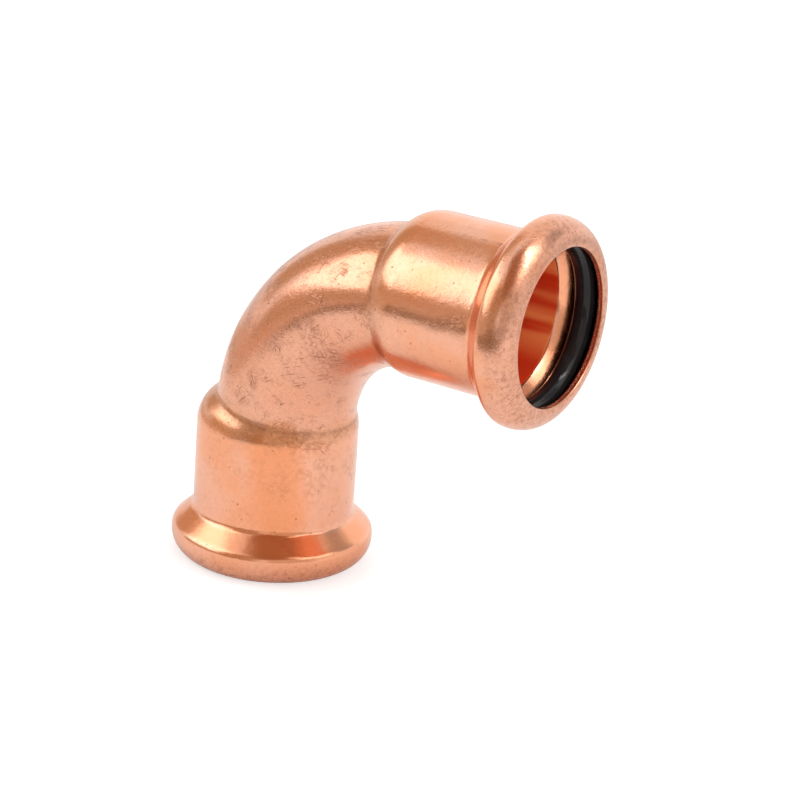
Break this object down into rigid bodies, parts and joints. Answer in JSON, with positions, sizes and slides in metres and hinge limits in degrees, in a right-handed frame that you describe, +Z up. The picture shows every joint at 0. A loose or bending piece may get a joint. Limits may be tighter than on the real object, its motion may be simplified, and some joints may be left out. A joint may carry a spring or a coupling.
{
  "type": "press fit fitting",
  "caption": "Copper press elbow that turns a pipe run through a right angle, with a beaded socket and a rubber O-ring at each end.",
  "frame": {"origin": "on the lower socket's axis, where its straight bore ends at the shoulder", "axes": "-Z out of the lower socket's mouth, +X out of the side socket's mouth, +Z up"},
  "size_m": [0.0626, 0.0306, 0.0625],
  "materials": {
    "copper": "satin drawn copper with fine scratches and polished bead flanks",
    "rubber": "smooth gloss black, lightly greased"
  },
  "bodies": {
    "root": {"elbow_body": "copper", "lower_o_ring": "rubber", "side_o_ring": "rubber"}
  },
  "joints": []
}
